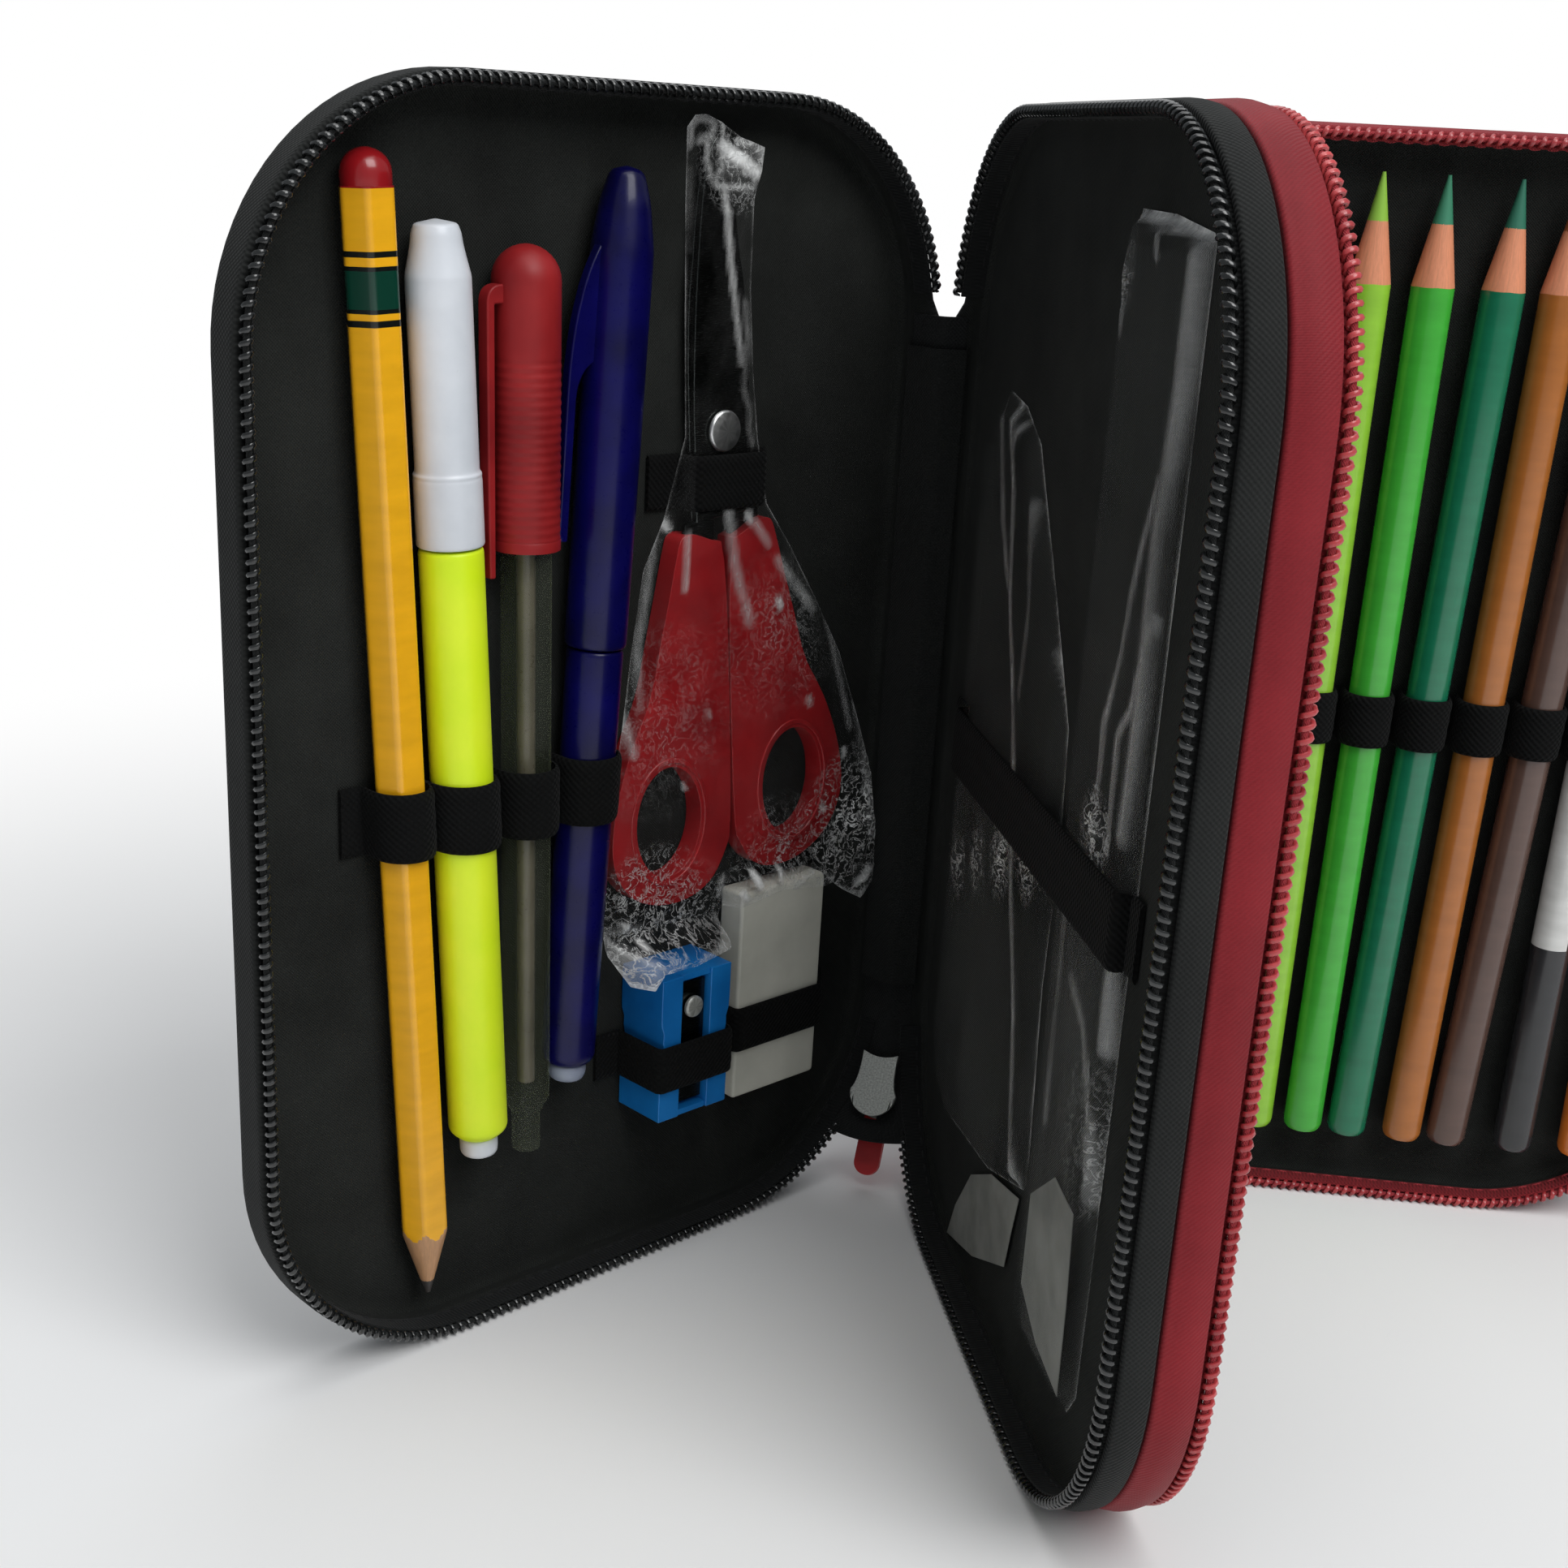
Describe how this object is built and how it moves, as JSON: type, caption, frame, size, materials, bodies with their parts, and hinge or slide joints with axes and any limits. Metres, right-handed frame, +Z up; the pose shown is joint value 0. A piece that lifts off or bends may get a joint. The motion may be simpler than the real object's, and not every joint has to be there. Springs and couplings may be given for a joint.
{
  "type": "zipped pencil case",
  "caption": "Upright zipped pencil case: hinged shallow trays between two covers, with elastic loops and bands holding pens, pencils, scissors, eraser, sharpener, ruler and set square.",
  "frame": {"origin": "on the floor, under the middle of the bounding box of the case as it stands open", "axes": "+Z up along the upright spine; the first divider runs from the spine towards -Y; the front cover opens to -X and the second divider with the back cover to +X"},
  "size_m": [0.275, 0.1644, 0.2],
  "materials": {
    "black_fabric": "matte woven cover and lining over foam board",
    "red_fabric": "red twill cover over foam board, black lining",
    "black_zip": "black coil on black tape",
    "red_zip": "red coil on red tape",
    "binding_cloth": "black lining cloth",
    "elastic": "black ribbed elastic",
    "nickel": "satin nickel",
    "steel": "polished stainless steel",
    "red_rubber": "red moulded rubber",
    "yellow_lacquer": "yellow lacquered cedar",
    "marker_yellow": "fluorescent yellow plastic",
    "marker_white": "white plastic",
    "clear_plastic": "clear moulded plastic",
    "ink_tube": "refill tube with red ink",
    "pen_red": "red plastic",
    "pen_blue": "dark blue plastic",
    "handle_red": "red plastic",
    "sharpener_blue": "bright blue plastic",
    "eraser_white": "white eraser rubber",
    "clear_acrylic": "clear plastic",
    "crayon_01": "yellow lacquer over cedar",
    "crayon_02": "red lacquer over cedar",
    "crayon_03": "blue lacquer over cedar",
    "crayon_04": "lime lacquer over cedar",
    "crayon_05": "light green lacquer over cedar",
    "crayon_06": "dark green lacquer over cedar",
    "crayon_07": "orange brown lacquer over cedar",
    "crayon_08": "dark brown lacquer over cedar",
    "crayon_09": "black lacquer over cedar",
    "crayon_10": "orange lacquer over cedar"
  },
  "bodies": {
    "first_divider": {"first_divider_black": "black_fabric", "first_divider_red": "red_fabric", "first_divider_black_zip": "black_zip", "first_divider_red_zip": "red_zip", "spine_binding_1": "binding_cloth", "spine_binding_2": "binding_cloth", "ruler_square_band": "elastic", "first_divider_red_band": "elastic"},
    "front_cover": {"front_cover": "black_fabric", "front_cover_zip": "black_zip", "pen_loops": "elastic", "scissors_band": "elastic", "sharpener_eraser_band": "elastic"},
    "second_divider": {"second_divider_red": "red_fabric", "second_divider_black": "black_fabric", "second_divider_red_zip": "red_zip", "second_divider_black_zip": "black_zip", "coloured_pencil_loops": "elastic", "spine_binding_3": "binding_cloth", "zip_slider_3": "nickel"},
    "back_cover": {"back_cover": "black_fabric", "back_cover_zip": "black_zip", "back_cover_band": "elastic"},
    "zip_slider_1": {"zip_slider_1": "nickel"},
    "zip_slider_2": {"zip_slider_2": "nickel"},
    "zip_pull_1": {"zip_pull_1": "red_rubber"},
    "zip_pull_2": {"zip_pull_2": "red_rubber"},
    "zip_pull_3": {"zip_pull_3": "red_rubber"},
    "graphite_pencil": {"graphite_pencil": "yellow_lacquer"},
    "highlighter": {"highlighter_barrel": "marker_yellow", "highlighter_cap": "marker_white"},
    "red_pen": {"red_pen_barrel": "clear_plastic", "red_pen_refill": "ink_tube", "red_pen_cap": "pen_red"},
    "blue_pen": {"blue_pen_barrel": "pen_blue", "blue_pen_cap": "pen_blue"},
    "scissors": {"scissors_blade_front": "steel", "scissors_blade_back": "steel", "scissors_handle_left": "handle_red", "scissors_handle_right": "handle_red", "scissors_rivet": "steel"},
    "sharpener": {"sharpener_body": "sharpener_blue", "sharpener_blade": "steel", "sharpener_screw": "steel"},
    "eraser": {"eraser": "eraser_white"},
    "ruler": {"ruler": "clear_acrylic"},
    "set_square": {"set_square": "clear_acrylic"},
    "coloured_pencil_01": {"coloured_pencil_01": "crayon_01"},
    "coloured_pencil_02": {"coloured_pencil_02": "crayon_02"},
    "coloured_pencil_03": {"coloured_pencil_03": "crayon_03"},
    "coloured_pencil_04": {"coloured_pencil_04": "crayon_04"},
    "coloured_pencil_05": {"coloured_pencil_05": "crayon_05"},
    "coloured_pencil_06": {"coloured_pencil_06": "crayon_06"},
    "coloured_pencil_07": {"coloured_pencil_07": "crayon_07"},
    "coloured_pencil_08": {"coloured_pencil_08": "crayon_08"},
    "coloured_pencil_09": {"coloured_pencil_09": "crayon_09"},
    "coloured_pencil_10": {"coloured_pencil_10": "crayon_10"}
  },
  "joints": [
    {"name": "cover_hinge", "type": "hinge", "parent": "first_divider", "child": "front_cover", "pos_m": [-0.02006, 0.0558, 0], "axis": [0, 0, -1], "range_deg": [-54.46, 65.54], "deforming": ["spine_binding_1"]},
    {"name": "divider_hinge", "type": "hinge", "parent": "first_divider", "child": "second_divider", "pos_m": [-0.00256, 0.0558, 0], "axis": [0, 0, 1], "range_deg": [-75.48, 24.52], "deforming": ["spine_binding_2"]},
    {"name": "back_hinge", "type": "hinge", "parent": "second_divider", "child": "back_cover", "pos_m": [0.00183, 0.07274, 0], "axis": [0, 0, 1], "range_deg": [0, 68], "deforming": ["spine_binding_3"]},
    {"name": "slider_1_follow", "type": "hinge", "parent": "first_divider", "child": "zip_slider_1", "pos_m": [-0.02006, 0.0558, 0], "axis": [0, 0, -1], "range_deg": [-27.3, 32.8]},
    {"name": "slider_2_follow", "type": "hinge", "parent": "first_divider", "child": "zip_slider_2", "pos_m": [-0.00256, 0.0558, 0], "axis": [0, 0, 1], "range_deg": [-37.8, 12.3]},
    {"name": "pull_1_swing", "type": "hinge", "parent": "zip_slider_1", "child": "zip_pull_1", "pos_m": [-0.02122, 0.05354, 0.01752], "axis": [0.8892, -0.4576, 0], "range_deg": [0, 110]},
    {"name": "pull_2_swing", "type": "hinge", "parent": "zip_slider_2", "child": "zip_pull_2", "pos_m": [-0.00101, 0.05379, 0.01752], "axis": [-0.7908, -0.6121, 0], "range_deg": [-110, 0]},
    {"name": "pull_3_swing", "type": "hinge", "parent": "second_divider", "child": "zip_pull_3", "pos_m": [0.00429, 0.0721, 0.18247], "axis": [0.2507, 0.9681, 0], "range_deg": [0, 110]},
    {"name": "slide_graphite_pencil", "type": "slide", "parent": "front_cover", "child": "graphite_pencil", "axis": [-0.043, -0.0307, 0.9986], "range_m": [-0.004, 0.002]},
    {"name": "slide_highlighter", "type": "slide", "parent": "front_cover", "child": "highlighter", "axis": [-0.046, -0.0328, 0.9984], "range_m": [-0.016, 0.012]},
    {"name": "slide_red_pen", "type": "slide", "parent": "front_cover", "child": "red_pen", "axis": [-0.0122, -0.0087, 0.9999], "range_m": [-0.012, 0.012]},
    {"name": "slide_blue_pen", "type": "slide", "parent": "front_cover", "child": "blue_pen", "axis": [0.0444, 0.0317, 0.9985], "range_m": [-0.005, 0.006]},
    {"name": "slide_scissors", "type": "slide", "parent": "front_cover", "child": "scissors", "axis": [-0.0709, -0.0507, 0.9962], "range_m": [-0.001, 0.0003]},
    {"name": "slide_sharpener", "type": "slide", "parent": "front_cover", "child": "sharpener", "axis": [0, 0, 1], "range_m": [-0.01, 0.008]},
    {"name": "slide_eraser", "type": "slide", "parent": "front_cover", "child": "eraser", "axis": [0, 0, 1], "range_m": [-0.012, 0.001]},
    {"name": "slide_ruler", "type": "slide", "parent": "first_divider", "child": "ruler", "axis": [0, 0, 1], "range_m": [-0.011, 0.011]},
    {"name": "slide_set_square", "type": "slide", "parent": "first_divider", "child": "set_square", "axis": [0, 0, 1], "range_m": [-0.02, 0.03]},
    {"name": "slide_coloured_pencil_01", "type": "slide", "parent": "second_divider", "child": "coloured_pencil_01", "axis": [0.0101, -0.0026, 0.9999], "range_m": [-0.004, 0.002]},
    {"name": "slide_coloured_pencil_02", "type": "slide", "parent": "second_divider", "child": "coloured_pencil_02", "axis": [-0.0068, 0.0018, 1], "range_m": [-0.006, 0.004]},
    {"name": "slide_coloured_pencil_03", "type": "slide", "parent": "second_divider", "child": "coloured_pencil_03", "axis": [0.0051, -0.0013, 1], "range_m": [-0.006, 0.004]},
    {"name": "slide_coloured_pencil_04", "type": "slide", "parent": "second_divider", "child": "coloured_pencil_04", "axis": [-0.0068, 0.0018, 1], "range_m": [-0.006, 0.004]},
    {"name": "slide_coloured_pencil_05", "type": "slide", "parent": "second_divider", "child": "coloured_pencil_05", "axis": [0, 0, 1], "range_m": [-0.006, 0.004]},
    {"name": "slide_coloured_pencil_06", "type": "slide", "parent": "second_divider", "child": "coloured_pencil_06", "axis": [0.0203, -0.0053, 0.9998], "range_m": [-0.006, 0.004]},
    {"name": "slide_coloured_pencil_07", "type": "slide", "parent": "second_divider", "child": "coloured_pencil_07", "axis": [0.0152, -0.0039, 0.9999], "range_m": [-0.006, 0.004]},
    {"name": "slide_coloured_pencil_08", "type": "slide", "parent": "second_divider", "child": "coloured_pencil_08", "axis": [0.0355, -0.0092, 0.9993], "range_m": [-0.006, 0.004]},
    {"name": "slide_coloured_pencil_09", "type": "slide", "parent": "second_divider", "child": "coloured_pencil_09", "axis": [0.0051, -0.0013, 1], "range_m": [-0.006, 0.003]},
    {"name": "slide_coloured_pencil_10", "type": "slide", "parent": "second_divider", "child": "coloured_pencil_10", "axis": [-0.0203, 0.0053, 0.9998], "range_m": [-0.002, 0.0006]}
  ],
  "couplings": [
    {"joint": "slider_1_follow", "follows": "cover_hinge", "ratio": 0.5},
    {"joint": "slider_2_follow", "follows": "divider_hinge", "ratio": 0.5}
  ]
}
